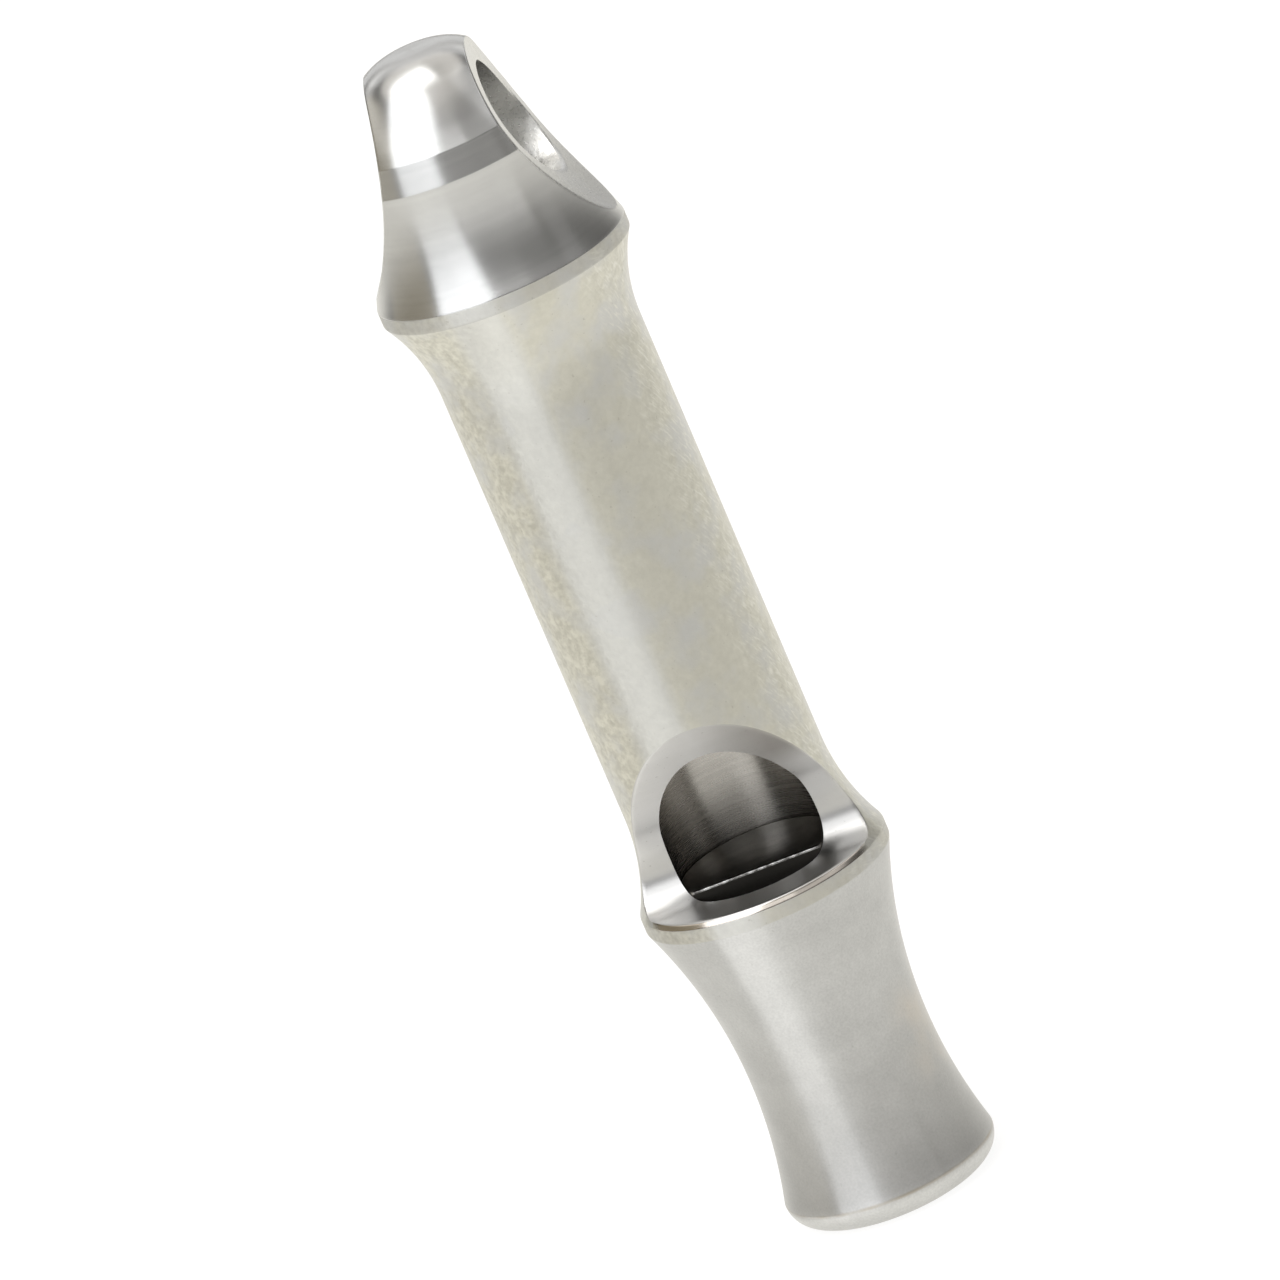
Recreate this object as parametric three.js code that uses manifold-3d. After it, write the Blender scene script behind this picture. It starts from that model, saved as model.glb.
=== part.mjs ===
// Survival whistle: a pealess metal whistle turned from bar, with a fipple plug pressed into its bore.
// Millimetres, +Z up. The whistle stands on its mouth end, with z = 0 there and its axis on Z.
// The sound window faces -Y and the lanyard hole runs along X.

import * as THREE from "three";
import { mergeVertices } from "three/addons/utils/BufferGeometryUtils.js";
import Module from "manifold-3d";

const wasm = await Module();
wasm.setup();

// Bore, and the walls around it
const boreRadius = 3.1;
const barrelWall = 0.95;
const waistWall = 0.54;
const lipWall = 1.19;
const rimWall = 1.9;

// Lengths along the axis, each from the middle of one feature to the next
const lipRound = 1.0;
const lipToWaist = 5.14;
const waistToRim = 7.45;
const rimToShoulder = 25.96;

// Rims: a narrow land on each, with a flare on its barrel side
const rimLand = 0.56;
const rimFlare = 3.97;
const shoulderFlare = 3.4;

// Bore end, a drill point under the shoulder
const chamberRoof = 2.4;
const drillPointAngle = 118;

// Lanyard head: a hollow taper, a short cone and a dome, scooped on both sides, with heights from the shoulder
const headStep = 0.82;
const headTaper = 4.83;
const coneHeight = 1.12;
const coneStep = 0.24;
const domeRadius = 8.16;
const domeTilt = 20;
const crownRadius = 2.5;
const crownTilt = 37;
const scoopRadius = 15;
const scoopRise = 9.45;
const crownThickness = 4.04;
const holeRise = 5.25;
const holeRadius = 2.45;

// Sound window, milled across the barrel just above the window rim
const windowWallRise = 0.52;
const windowFloorDepth = 0.9;
const windowCornerRadius = 1.4;
const windowFloorLength = 0.05;
const windowBlendRadius = 3.2;
const windowRampAngle = 33.6;

// Windway plug
const plugClearance = 0.02;
const plugRise = 0.87;
const windwayHeight = 1.4;
const plugChamfer = 0.15;

// Facets: sides of a full turn and steps of an arc
const turnSides = 56;
const arcSteps = 4;
const scoopSides = 120;
const cutMargin = 1;

const barrelRadius = boreRadius + barrelWall;
const waistRadius = boreRadius + waistWall;
const lipRadius = boreRadius + lipWall;
const rimRadius = boreRadius + rimWall;
const waistHeight = lipRound + lipToWaist;
const rimHeight = waistHeight + waistToRim;
const shoulderHeight = rimHeight + rimToShoulder;

function solidFrom(geometry) {
  const bare = geometry.index ? geometry.toNonIndexed() : geometry.clone();
  bare.deleteAttribute("normal");
  bare.deleteAttribute("uv");
  const merged = mergeVertices(bare, 1e-5);
  const corners = merged.index.array;
  const triVerts = [];
  for (let i = 0; i < corners.length; i += 3) {
    const [a, b, c] = corners.slice(i, i + 3);
    if (a !== b && b !== c && c !== a) triVerts.push(a, b, c);
  }
  return new wasm.Manifold(
    new wasm.Mesh({
      numProp: 3,
      vertProperties: new Float32Array(merged.attributes.position.array),
      triVerts: new Uint32Array(triVerts),
    }),
  );
}

function geometryFrom(solid) {
  const mesh = solid.getMesh();
  const geometry = new THREE.BufferGeometry();
  geometry.setAttribute("position", new THREE.BufferAttribute(mesh.vertProperties, 3));
  geometry.setIndex(new THREE.BufferAttribute(mesh.triVerts, 1));
  geometry.computeVertexNormals();
  return geometry;
}

// A profile of radius against height, turned about Z
function turned(profile) {
  const lathe = new THREE.LatheGeometry(profile.getPoints(arcSteps), turnSides);
  return solidFrom(lathe.rotateX(Math.PI / 2));
}

// Draws a hollow curve to (radius, height) that runs straight up where it is narrowest
function flareOut(path, radius, height) {
  const from = path.currentPoint;
  const reach = flareRadius(radius - from.x, height - from.y);
  const turn = Math.asin((height - from.y) / reach);
  path.absarc(from.x + reach, from.y, reach, Math.PI, Math.PI - turn, true);
}

function flareIn(path, radius, height) {
  const from = path.currentPoint;
  const reach = flareRadius(from.x - radius, height - from.y);
  const turn = Math.asin((height - from.y) / reach);
  path.absarc(radius + reach, height, reach, Math.PI + turn, Math.PI, true);
}

function flareRadius(rise, run) {
  return (rise * rise + run * run) / (2 * rise);
}

// Draws a round that carries the surface from one tilt to the next
function roundOver(path, radius, fromTilt, toTilt) {
  const from = path.currentPoint;
  const x = from.x - radius * Math.cos(fromTilt);
  const y = from.y - radius * Math.sin(fromTilt);
  path.absarc(x, y, radius, fromTilt, toTilt, false);
}

function bodyProfile() {
  const path = new THREE.Path();
  path.moveTo(0, 0);
  path.lineTo(lipRadius - lipRound, 0);
  roundOver(path, lipRound, -Math.PI / 2, 0);
  flareIn(path, waistRadius, waistHeight);
  flareOut(path, rimRadius, rimHeight - rimLand / 2);
  path.lineTo(rimRadius, rimHeight + rimLand / 2);
  flareIn(path, barrelRadius, rimHeight + rimLand / 2 + rimFlare);
  path.lineTo(barrelRadius, shoulderHeight - rimLand / 2 - shoulderFlare);
  flareOut(path, rimRadius, shoulderHeight - rimLand / 2);
  path.lineTo(rimRadius, shoulderHeight + rimLand / 2);
  headProfile(path);
  path.lineTo(0, path.currentPoint.y);
  return path;
}

function headProfile(path) {
  const headRadius = rimRadius - headStep;
  const domeStart = THREE.MathUtils.degToRad(domeTilt);
  const crownStart = THREE.MathUtils.degToRad(crownTilt);
  flareIn(path, headRadius, shoulderHeight + headTaper);
  path.lineTo(headRadius - coneStep, shoulderHeight + headTaper + coneHeight);
  roundOver(path, domeRadius, domeStart, crownStart);
  roundOver(path, crownRadius, crownStart, Math.PI / 2);
}

function boreCutter() {
  const pointRise = boreRadius / Math.tan(THREE.MathUtils.degToRad(drillPointAngle / 2));
  const boreEnd = shoulderHeight - chamberRoof;
  const path = new THREE.Path();
  path.moveTo(0, -cutMargin);
  path.lineTo(boreRadius, -cutMargin);
  path.lineTo(boreRadius, boreEnd - pointRise);
  path.lineTo(0, boreEnd);
  return turned(path);
}

// The window's outline, seen along the cut, with depth towards the open side: a wall square to the axis,
// a round corner, a short floor and a ramp that rises to the blowing edge
function windowCutter() {
  const open = rimRadius + cutMargin;
  const wall = rimHeight + windowWallRise;
  const corner = windowFloorDepth + windowCornerRadius;
  const floorEnd = wall + windowCornerRadius + windowFloorLength;
  const blend = windowFloorDepth + windowBlendRadius;
  const ramp = THREE.MathUtils.degToRad(windowRampAngle);
  const rampStart = new THREE.Vector2(
    blend - windowBlendRadius * Math.cos(ramp),
    floorEnd + windowBlendRadius * Math.sin(ramp),
  );
  const shape = new THREE.Shape();
  shape.moveTo(open, wall);
  shape.lineTo(corner, wall);
  shape.absarc(corner, wall + windowCornerRadius, windowCornerRadius, -Math.PI / 2, -Math.PI, true);
  shape.lineTo(windowFloorDepth, floorEnd);
  shape.absarc(blend, floorEnd, windowBlendRadius, Math.PI, Math.PI - ramp, true);
  shape.lineTo(open, rampStart.y + (open - rampStart.x) / Math.tan(ramp));
  shape.closePath();
  const width = 2 * open;
  const cut = new THREE.ExtrudeGeometry(shape, { depth: width, bevelEnabled: false, curveSegments: arcSteps * 2 });
  cut.translate(0, 0, -width / 2);
  const across = new THREE.Vector3(-1, 0, 0);
  const out = new THREE.Vector3(0, -1, 0);
  const up = new THREE.Vector3(0, 0, 1);
  cut.applyMatrix4(new THREE.Matrix4().makeBasis(out, up, across));
  return solidFrom(cut);
}

function scoopCutter(side) {
  const length = 2 * (rimRadius + cutMargin);
  const scoop = new THREE.CylinderGeometry(scoopRadius, scoopRadius, length, scoopSides);
  scoop.translate(side * (crownThickness / 2 + scoopRadius), 0, shoulderHeight + scoopRise);
  return solidFrom(scoop);
}

function holeCutter() {
  const hole = new THREE.CylinderGeometry(holeRadius, holeRadius, 2 * (rimRadius + cutMargin), turnSides);
  hole.rotateZ(Math.PI / 2);
  hole.translate(0, 0, shoulderHeight + holeRise);
  return solidFrom(hole);
}

function whistleBody() {
  return turned(bodyProfile())
    .subtract(boreCutter())
    .subtract(windowCutter())
    .subtract(scoopCutter(1))
    .subtract(scoopCutter(-1))
    .subtract(holeCutter());
}

function windwayPlug() {
  const radius = boreRadius - plugClearance;
  const top = rimHeight + plugRise;
  const path = new THREE.Path();
  path.moveTo(0, 0);
  path.lineTo(radius - plugChamfer, 0);
  path.lineTo(radius, plugChamfer);
  path.lineTo(radius, top - plugChamfer);
  path.lineTo(radius - plugChamfer, top);
  path.lineTo(0, top);
  const flat = new THREE.BoxGeometry(2 * boreRadius + cutMargin, windwayHeight + cutMargin, top + 2 * cutMargin);
  flat.translate(0, -boreRadius + windwayHeight - (windwayHeight + cutMargin) / 2, top / 2);
  return turned(path).subtract(solidFrom(flat));
}

const bodySteel = new THREE.MeshStandardMaterial({ color: 0xb9b6ad, roughness: 0.38, metalness: 1 });
const plugSteel = new THREE.MeshStandardMaterial({ color: 0x9a9892, roughness: 0.45, metalness: 1 });

const body = new THREE.Mesh(geometryFrom(whistleBody()), bodySteel);
body.name = "whistle_body";

const plug = new THREE.Mesh(geometryFrom(windwayPlug()), plugSteel);
plug.name = "windway_plug";

const whistle = new THREE.Group();
whistle.add(body, plug);

export default whistle;
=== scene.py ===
import math

import bmesh
import bpy
import numpy as np
from mathutils import Matrix, Vector


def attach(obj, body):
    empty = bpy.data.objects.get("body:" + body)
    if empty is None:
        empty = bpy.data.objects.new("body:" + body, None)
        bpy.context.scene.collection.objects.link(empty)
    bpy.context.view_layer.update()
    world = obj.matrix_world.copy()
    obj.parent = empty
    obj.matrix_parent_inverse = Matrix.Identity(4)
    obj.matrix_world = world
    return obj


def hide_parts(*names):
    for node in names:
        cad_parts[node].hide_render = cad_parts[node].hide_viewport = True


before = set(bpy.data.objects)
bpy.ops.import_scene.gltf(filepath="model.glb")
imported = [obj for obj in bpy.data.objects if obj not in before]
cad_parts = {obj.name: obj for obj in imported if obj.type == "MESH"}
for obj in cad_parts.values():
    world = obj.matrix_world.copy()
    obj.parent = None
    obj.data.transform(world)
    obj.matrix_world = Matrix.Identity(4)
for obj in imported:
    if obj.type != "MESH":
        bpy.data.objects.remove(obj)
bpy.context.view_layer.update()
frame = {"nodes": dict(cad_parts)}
scene = bpy.context.scene
scene.view_settings.view_transform = "Standard"
print("frame loaded:", ", ".join(frame["nodes"]))

mm = 0.001


# direction away from the axis: azimuth 0 is the window's side, and it grows to the right
def directionTo(azimuth, elevation):
    turn = math.radians(azimuth)
    rise = math.radians(elevation)
    return Vector((
        math.sin(turn) * math.cos(rise),
        -math.cos(turn) * math.cos(rise),
        math.sin(rise),
    ))


# camera, at the photograph's angle and tilt
cameraView = {
    "place": (66.762, -441.758, 156.568),  # mm
    "azimuth": 8.7,
    "elevation": 16.519,
    "tilt": 23.318,
    "lens": 347.1,
    "sensor": 36,
    "clip": (0.01, 20),  # metres
}


def addCamera(view):
    azimuth = math.radians(view["azimuth"])
    tilt = math.radians(view["tilt"])
    back = directionTo(view["azimuth"], view["elevation"])
    right = Vector((math.cos(azimuth), math.sin(azimuth), 0))
    up = back.cross(right)
    turnedRight = right * math.cos(tilt) - up * math.sin(tilt)
    turnedUp = right * math.sin(tilt) + up * math.cos(tilt)
    data = bpy.data.cameras.new("photoCamera")
    data.lens = view["lens"]
    data.sensor_width = view["sensor"]
    data.clip_start, data.clip_end = view["clip"]
    camera = bpy.data.objects.new("photoCamera", data)
    scene.collection.objects.link(camera)
    matrix = Matrix((turnedRight, turnedUp, back)).transposed().to_4x4()
    matrix.translation = Vector(view["place"]) * mm
    camera.matrix_world = matrix
    scene.camera = camera


addCamera(cameraView)
print("camera placed")


# node helpers
def placeNode(tree, kind, inputs=None, **settings):
    node = tree.nodes.new(kind)
    for key, value in settings.items():
        setattr(node, key, value)
    for key, value in (inputs or {}).items():
        if isinstance(value, bpy.types.NodeSocket):
            tree.links.new(value, node.inputs[key])
        else:
            node.inputs[key].default_value = value
    return node


def mathNode(tree, operation, a, b=0.0):
    return placeNode(tree, "ShaderNodeMath", {0: a, 1: b}, operation=operation).outputs[0]


def add(tree, a, b):
    return mathNode(tree, "ADD", a, b)


def multiply(tree, a, b):
    return mathNode(tree, "MULTIPLY", a, b)


def largest(tree, a, b):
    return mathNode(tree, "MAXIMUM", a, b)


def awayFrom(tree, value, middle):
    return mathNode(tree, "ABSOLUTE", mathNode(tree, "SUBTRACT", value, middle))


def remap(tree, value, low, high, toLow=0.0, toHigh=1.0):
    inputs = {"Value": value, "From Min": low, "From Max": high, "To Min": toLow, "To Max": toHigh}
    return placeNode(tree, "ShaderNodeMapRange", inputs).outputs["Result"]


def opaque(colour):
    return (*colour, 1) if isinstance(colour, tuple) else colour


def blendColours(tree, factor, a, b):
    inputs = {"Factor": factor, 6: opaque(a), 7: opaque(b)}  # 6 and 7 are the node's two colours
    return placeNode(tree, "ShaderNodeMix", inputs, data_type="RGBA").outputs[2]


def scaled(tree, vector, factor):
    return placeNode(tree, "ShaderNodeVectorMath", {0: vector, "Scale": factor}, operation="SCALE").outputs[0]


def millimetres(tree):
    return scaled(tree, placeNode(tree, "ShaderNodeTexCoord").outputs["Object"], 1000.0)


def axisParts(tree, vector):
    return placeNode(tree, "ShaderNodeSeparateXYZ", {0: vector}).outputs


def noiseNode(tree, detail, dimensions="3D", **inputs):
    values = {"Scale": 1.0, "Detail": detail, **inputs}
    return placeNode(tree, "ShaderNodeTexNoise", values, noise_dimensions=dimensions).outputs["Fac"]


def startGroup(name, inputs, outputs):
    tree = bpy.data.node_groups.new(name, "ShaderNodeTree")
    for label, value in inputs.items():
        socket = tree.interface.new_socket(label, in_out="INPUT", socket_type="NodeSocketFloat")
        socket.default_value = value
    for label in outputs:
        tree.interface.new_socket(label, in_out="OUTPUT", socket_type="NodeSocketFloat")
    return tree, tree.nodes.new("NodeGroupInput").outputs, tree.nodes.new("NodeGroupOutput").inputs


# soft clouds, fine grain and small pits left by tumbling
def makeTumbledGrain():
    marks = {
        "cloudDetail": 3.0, "cloudLevels": (0.34, 0.66),  # the noise levels that become 0 and 1
        "grainDetail": 2.0, "grainLevels": (0.3, 0.7),
        "pitDetail": 1.0, "pitLevels": (0.72, 0.78), "pitScale": 0.55, "pitShift": (31.0, 17.0, 5.0),
    }
    sizes = {"Cloud Size": 1.4, "Grain Size": 0.09}
    tree, given, out = startGroup("tumbledGrain", sizes, ["Cloud", "Grain", "Pits"])
    place = millimetres(tree)
    shifted = {0: place, 1: marks["pitShift"]}
    moved = placeNode(tree, "ShaderNodeVectorMath", shifted, operation="ADD").outputs[0]
    cloudScale = mathNode(tree, "DIVIDE", 1.0, given["Cloud Size"])
    grainScale = mathNode(tree, "DIVIDE", 1.0, given["Grain Size"])
    pitScale = multiply(tree, grainScale, marks["pitScale"])
    cloud = noiseNode(tree, marks["cloudDetail"], Vector=place, Scale=cloudScale)
    grain = noiseNode(tree, marks["grainDetail"], Vector=place, Scale=grainScale)
    pits = noiseNode(tree, marks["pitDetail"], Vector=moved, Scale=pitScale)
    tree.links.new(remap(tree, cloud, *marks["cloudLevels"]), out["Cloud"])
    tree.links.new(remap(tree, grain, *marks["grainLevels"]), out["Grain"])
    tree.links.new(remap(tree, pits, *marks["pitLevels"]), out["Pits"])
    return tree


# rings left by the lathe tool, running round the axis
def makeTurnedLines():
    marks = {"waveScale": 0.6, "waveDetail": 1.0, "lineDetail": 2.0, "bandScale": 0.13, "bandDetail": 1.0}
    tree, given, out = startGroup("turnedLines", {"Pitch": 0.05, "Wander": 0.02}, ["Lines", "Bands"])
    place = millimetres(tree)
    height = axisParts(tree, place)["Z"]
    wave = noiseNode(tree, marks["waveDetail"], Vector=place, Scale=marks["waveScale"])
    shift = multiply(tree, wave, given["Wander"])
    along = mathNode(tree, "DIVIDE", add(tree, height, shift), given["Pitch"])
    coarse = multiply(tree, along, marks["bandScale"])
    tree.links.new(noiseNode(tree, marks["lineDetail"], "1D", W=along), out["Lines"])
    tree.links.new(noiseNode(tree, marks["bandDetail"], "1D", W=coarse), out["Bands"])
    return tree


# short slanting scratches, laid out on the unrolled barrel
def makeSlantScratches():
    marks = {"barrel": 4.0, "detail": 2.0, "levels": (0.50, 0.68)}
    sizes = {"Slant": 35.0, "Width": 0.12, "Length": 0.4}
    tree, given, out = startGroup("slantScratches", sizes, ["Scratches"])
    parts = axisParts(tree, millimetres(tree))
    turn = mathNode(tree, "ARCTAN2", parts["X"], multiply(tree, parts["Y"], -1.0))
    sideways = multiply(tree, turn, marks["barrel"])
    unrolled = placeNode(tree, "ShaderNodeCombineXYZ", {"X": sideways, "Y": parts["Z"]}).outputs[0]
    angle = mathNode(tree, "RADIANS", given["Slant"])
    slanted = placeNode(tree, "ShaderNodeVectorRotate", {"Vector": unrolled, "Angle": angle},
                        rotation_type="Z_AXIS").outputs[0]
    both = axisParts(tree, slanted)
    across = mathNode(tree, "DIVIDE", both["Y"], given["Width"])
    along = mathNode(tree, "DIVIDE", both["X"], given["Length"])
    grid = placeNode(tree, "ShaderNodeCombineXYZ", {"X": across, "Y": along}).outputs[0]
    noise = noiseNode(tree, marks["detail"], "2D", Vector=grid)
    tree.links.new(remap(tree, noise, *marks["levels"]), out["Scratches"])
    return tree


tumbledGrain = makeTumbledGrain()
turnedLines = makeTurnedLines()
slantScratches = makeSlantScratches()


def useGroup(tree, group, **values):
    node = tree.nodes.new("ShaderNodeGroup")
    node.node_tree = group
    for key, value in values.items():
        node.inputs[key.replace("_", " ")].default_value = value
    return node.outputs


def startMetal(name, tint, stretch=0.0):
    material = bpy.data.materials.new(name)
    material.use_nodes = True
    tree = material.node_tree
    shader = tree.nodes["Principled BSDF"]
    shader.inputs["Metallic"].default_value = 1.0
    shader.inputs["Base Color"].default_value = opaque(tint)
    if stretch:
        # grooves run round the axis, so highlights stretch along it
        shader.inputs["Anisotropic"].default_value = stretch
        shader.inputs["Anisotropic Rotation"].default_value = 0.25  # a quarter turn
        tangent = placeNode(tree, "ShaderNodeTangent", direction_type="RADIAL", axis="Z")
        tree.links.new(tangent.outputs[0], shader.inputs["Tangent"])
    return material, tree, shader


def feed(tree, shader, **sockets):
    for key, value in sockets.items():
        tree.links.new(value, shader.inputs[key.replace("_", " ")])


def bumpNode(tree, height, strength, depth):
    inputs = {"Height": height, "Strength": strength, "Distance": depth * mm}
    return placeNode(tree, "ShaderNodeBump", inputs).outputs["Normal"]


# metal finishes of the body, with places and widths in mm
finishes = {
    "mouthSatin": {
        "light": (0.60, 0.60, 0.595), "dark": (0.468, 0.468, 0.465),
        "pitAndPaintedShade": (0.30, 0.29, 0.28), "pitted": 0.25,
        "rough": (0.28, 0.34), "pitch": 0.06, "depth": 0.0010, "stretch": 0.88, "banded": 0.15,
        # painted shade: darker towards the end that is blown
        "paintedEndShade": 0.32, "paintedEndShadeHeights": (9.0, 2.0), "lipHeights": (0.8, 1.3),
        # a thin darker brown line at the lip's edge
        "lipLineColour": (0.36, 0.30, 0.22), "darkened": 0.6, "lipLineHeight": 1.0, "lipLineWidth": (0.02, 0.09),
        "tan": (0.60, 0.53, 0.445), "tanned": 0.42, "tanHeight": 6.2, "tanWidth": (1.0, 2.4),
        # a tan patch at one side, and painted light that brightens the lip
        "tanSide": (2.4, 3.3), "paintedLipLight": 1.2, "paintedLipLightHeights": (1.0, 0.75),
    },
    "rimLand": {
        "light": (0.64, 0.628, 0.575), "dark": (0.50, 0.488, 0.445), "cool": (0.58, 0.583, 0.58),
        "pitAndPaintedShade": (0.30, 0.28, 0.25), "pitted": 0.3, "paintedLift": 0.0, "hatched": 0.3, "slant": 20.0,
        "rough": (0.40, 0.48), "stretch": 0.8,
    },
    "barrelTumbled": {
        "light": (0.635, 0.623, 0.556), "dark": (0.485, 0.474, 0.42), "cool": (0.54, 0.543, 0.542),
        "pitAndPaintedShade": (0.33, 0.31, 0.27), "pitted": 0.3, "paintedLift": 0.20, "hatched": 0.9, "slant": 56.0,
        "rough": (0.32, 0.38), "stretch": 0.90,
    },
    "headPolish": {
        "light": (0.625, 0.622, 0.612), "dark": (0.535, 0.533, 0.525),
        "pitAndPaintedShade": (0.30, 0.29, 0.28), "pitted": 0.0,
        "rough": (0.23, 0.26), "pitch": 0.045, "depth": 0.0002, "stretch": 0.6, "banded": 0.55,
    },
    "scoopSatin": {
        "light": (0.75, 0.745, 0.725), "dark": (0.68, 0.675, 0.655), "cool": (0.72, 0.72, 0.72),
        "pitAndPaintedShade": (0.30, 0.29, 0.27), "pitted": 0.1, "paintedLift": 0.0, "hatched": 0.2, "slant": 60.0,
        "rough": (0.26, 0.33), "stretch": 0.0,
    },
    "windowCut": {
        "light": (0.56, 0.555, 0.545), "dark": (0.50, 0.495, 0.485),
        "pitAndPaintedShade": (0.22, 0.20, 0.18), "pitted": 0.3,
        "rough": (0.30, 0.36), "pitch": 0.05, "depth": 0.0005, "stretch": 0.0, "banded": 0.45,
        # painted shade on one end of the ramp
        "paintedRampShade": 0.62, "paintedShadeAcross": (0.0, 2.5), "paintedShadeHeights": (18.0, 18.9),
    },
    "lipBevel": {
        "light": (0.64, 0.59, 0.535), "dark": (0.50, 0.455, 0.405),
        "pitAndPaintedShade": (0.16, 0.13, 0.10), "pitted": 0.5,
        "rough": (0.14, 0.19), "pitch": 0.05, "depth": 0.0004, "stretch": 0.0, "banded": 0.45,
        "ends": (4.05, 4.36), "faded": (0.60, 0.59, 0.53), "fadedRough": 0.25,
    },
    "boreDark": {
        "light": (0.58, 0.559, 0.53), "dark": (0.455, 0.437, 0.412),
        "pitAndPaintedShade": (0.16, 0.15, 0.14), "pitted": 0.1,
        "rough": (0.24, 0.30), "pitch": 0.16, "depth": 0.0006, "stretch": 0.5, "banded": 0.35,
    },
}

# what the turned finishes share: the bands and the fine grain take up "bandsAndGrain" between them
turnedMarks = {
    "wander": 0.02, "cloudSize": 1.6, "grainSize": 0.09, "clouds": 0.35, "bandsAndGrain": 0.65,
    "lineLevels": (0.3, 0.7), "bump": 0.5,
}


# mouthpiece: painted shade darkens it towards the end that is blown, a darker brown line runs round it at the
# lip's edge, and painted light brightens the lip below that line
def addMouthMarksAndPaintedShading(tree, look, place, cloud, colour):
    # painted shade: darker from 9 mm down to 2 mm, fading out over the lip
    endShade = multiply(tree, remap(tree, place["Z"], *look["paintedEndShadeHeights"], 0.0, look["paintedEndShade"]),
                      remap(tree, place["Z"], *look["lipHeights"]))
    colour = blendColours(tree, endShade, colour, look["pitAndPaintedShade"])
    # a thin darker brown line round the mouthpiece at the lip's edge, broken up by the clouds
    fromLine = awayFrom(tree, place["Z"], look["lipLineHeight"])
    darkened = multiply(tree, remap(tree, fromLine, *look["lipLineWidth"], look["darkened"], 0.0), cloud)
    colour = blendColours(tree, darkened, colour, look["lipLineColour"])
    fromWaist = awayFrom(tree, place["Z"], look["tanHeight"])
    tanned = multiply(tree, remap(tree, place["X"], *look["tanSide"], 0.0, look["tanned"]),
                      remap(tree, fromWaist, *look["tanWidth"], 1.0, 0.0))
    colour = blendColours(tree, multiply(tree, tanned, cloud), colour, look["tan"])
    # painted light: brighter below the line, down the lip
    return scaled(tree, colour, remap(tree, place["Z"], *look["paintedLipLightHeights"], 1.0, look["paintedLipLight"]))


# window: painted shade darkens the ramp towards one end
def addPaintedRampShade(tree, look, place, colour):
    across = remap(tree, place["X"], *look["paintedShadeAcross"])
    upward = remap(tree, place["Z"], *look["paintedShadeHeights"], 0.0, look["paintedRampShade"])
    return blendColours(tree, multiply(tree, across, upward), colour, look["pitAndPaintedShade"])


# bevel: it dies out at both ends of the window
def fadeEnds(tree, look, place, colour, rough):
    dying = remap(tree, mathNode(tree, "ABSOLUTE", place["X"]), *look["ends"])
    colour = blendColours(tree, dying, colour, look["faded"])
    return colour, add(tree, rough, multiply(tree, dying, look["fadedRough"]))


def turnedFinish(name):
    look, marks = finishes[name], turnedMarks
    material, tree, shader = startMetal(name, look["light"], look["stretch"])
    lines = useGroup(tree, turnedLines, Pitch=look["pitch"], Wander=marks["wander"])
    grain = useGroup(tree, tumbledGrain, Cloud_Size=marks["cloudSize"], Grain_Size=marks["grainSize"])
    banded = multiply(tree, lines["Bands"], look["banded"])
    clouded = multiply(tree, grain["Cloud"], marks["clouds"])
    grained = multiply(tree, grain["Grain"], marks["bandsAndGrain"] - look["banded"])
    mixed = add(tree, banded, add(tree, clouded, grained))
    colour = blendColours(tree, mixed, look["dark"], look["light"])
    colour = blendColours(tree, multiply(tree, grain["Pits"], look["pitted"]), colour, look["pitAndPaintedShade"])
    rough = remap(tree, lines["Lines"], *marks["lineLevels"], *look["rough"])
    place = axisParts(tree, millimetres(tree))
    # mouthpiece: painted shade, painted light, a darker line and a tan patch
    if "paintedEndShade" in look:
        colour = addMouthMarksAndPaintedShading(tree, look, place, grain["Cloud"], colour)
    # painted shade on the window's ramp
    if "paintedRampShade" in look:
        colour = addPaintedRampShade(tree, look, place, colour)
    if "ends" in look:
        colour, rough = fadeEnds(tree, look, place, colour, rough)
    normal = bumpNode(tree, lines["Lines"], marks["bump"], look["depth"])
    feed(tree, shader, Base_Color=colour, Roughness=rough, Normal=normal)
    return material


# where the tumbled finishes change, in mm from the axis or along it, and how strongly
tumbledMarks = {
    "fineCloud": 0.2, "fineGrain": 0.08, "fineShare": 0.48,
    "broadCloud": 1.7, "broadGrain": 0.45, "broadShare": 0.52,
    "mottledSide": (0.6, -2.8), "mottledContrast": (0.4, 1.6), "backSide": (0.0, 1.0),
    "plainSide": (2.6, 3.5), "plainContrast": (0.4, 0.8),
    "coolLevels": (0.35, 1.0), "cooled": 0.72,
    # a painted cooler streak along the front, where the highlight lies
    "paintedStreakPlace": -1.0, "paintedStreakWidth": (0.8, 1.3), "paintedStreakShare": 0.6, "paintedStreakEnd": 3.0,
    # painted light on both sides and on the flare under the shoulder
    "leftPaintedLight": (-0.6, -2.8), "rightPaintedLight": (1.5, 3.9), "rightShare": 0.87, "flarePaintedLight": (34.6, 36.6),
    "hatchWidth": 0.1, "hatchLength": 0.45, "hatchSide": (2.7, 3.75), "hatchLeast": 0.04,
    "hatchLevels": (0.2, 0.8), "hatchPatches": (0.35, 1.0), "hatch": (0.79, 0.778, 0.722),
    "hatchDepth": 0.5, "mottledDepth": 3.0, "bump": 0.5, "depth": 0.006,
}


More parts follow.
